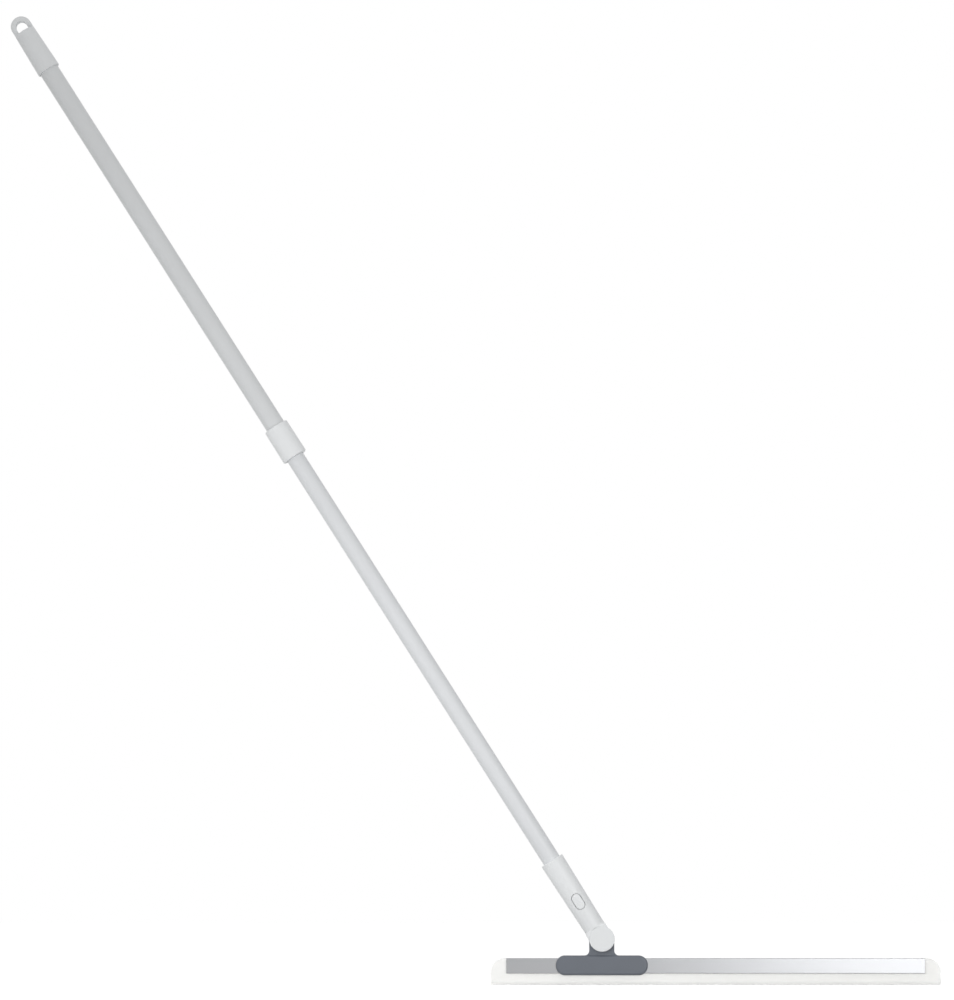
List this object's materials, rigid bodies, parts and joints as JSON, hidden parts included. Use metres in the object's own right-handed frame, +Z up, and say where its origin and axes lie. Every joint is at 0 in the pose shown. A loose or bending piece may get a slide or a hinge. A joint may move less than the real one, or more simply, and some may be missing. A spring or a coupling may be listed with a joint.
{
  "type": "floor squeegee",
  "caption": "Floor squeegee with a wide silicone blade in an aluminium rail, a sliding tilting head and a telescopic twist-lock pole with a hanging loop.",
  "frame": {"origin": "middle of the blade's working edge, on the floor", "axes": "+X along the blade, +Y to the back of the tool, +Z up; the button faces -Y"},
  "size_m": [1.0242, 0.0284, 1.0716],
  "materials": {
    "silicone": "satin translucent",
    "rail_metal": "brushed anodised",
    "slate_plastic": "satin",
    "white_plastic": "satin",
    "cap_plastic": "satin",
    "tube_paint": "satin coat",
    "steel": "bright",
    "nylon": "natural"
  },
  "bodies": {
    "upper_pole": {"upper_tube": "tube_paint", "collet_sleeve": "nylon", "end_cap": "cap_plastic"},
    "collar": {"lock_collar": "white_plastic"},
    "lower_pole": {"lower_tube": "tube_paint", "guide_plug": "nylon", "tube_plug": "nylon", "plug_pin": "steel", "button_spring": "steel", "knuckle_socket": "white_plastic", "front_cap": "white_plastic", "rear_cap": "white_plastic", "pivot_bolt": "steel", "pivot_nut": "steel", "spring_washer": "steel", "friction_washers": "nylon"},
    "button": {"latch_button": "white_plastic"},
    "slider": {"carriage": "slate_plastic", "glide_liners": "nylon", "pivot_bush": "nylon"},
    "head": {"rail": "rail_metal", "blade": "silicone"}
  },
  "joints": [
    {"name": "collar_twist", "type": "hinge", "parent": "upper_pole", "child": "collar", "pos_m": [-0.47131, 0, 0.59497], "axis": [-0.5373, 0, 0.8434], "range_deg": [0, 90]},
    {"name": "pole_slide", "type": "slide", "parent": "upper_pole", "child": "lower_pole", "axis": [-0.5373, 0, 0.8434], "range_m": [0, 0.34]},
    {"name": "button_press", "type": "slide", "parent": "lower_pole", "child": "button", "axis": [0, 1, 0], "range_m": [0, 0.0026], "stiffness_N_per_m": 1500, "springref_m": -0.002, "deforming": ["button_spring"]},
    {"name": "knuckle_tilt", "type": "hinge", "parent": "lower_pole", "child": "slider", "pos_m": [-0.124, 0, 0.0498], "axis": [0, 1, 0], "range_deg": [-122.5, 57.5]},
    {"name": "head_slide", "type": "slide", "parent": "slider", "child": "head", "axis": [1, 0, 0], "range_m": [-0.3, 0.052]}
  ]
}
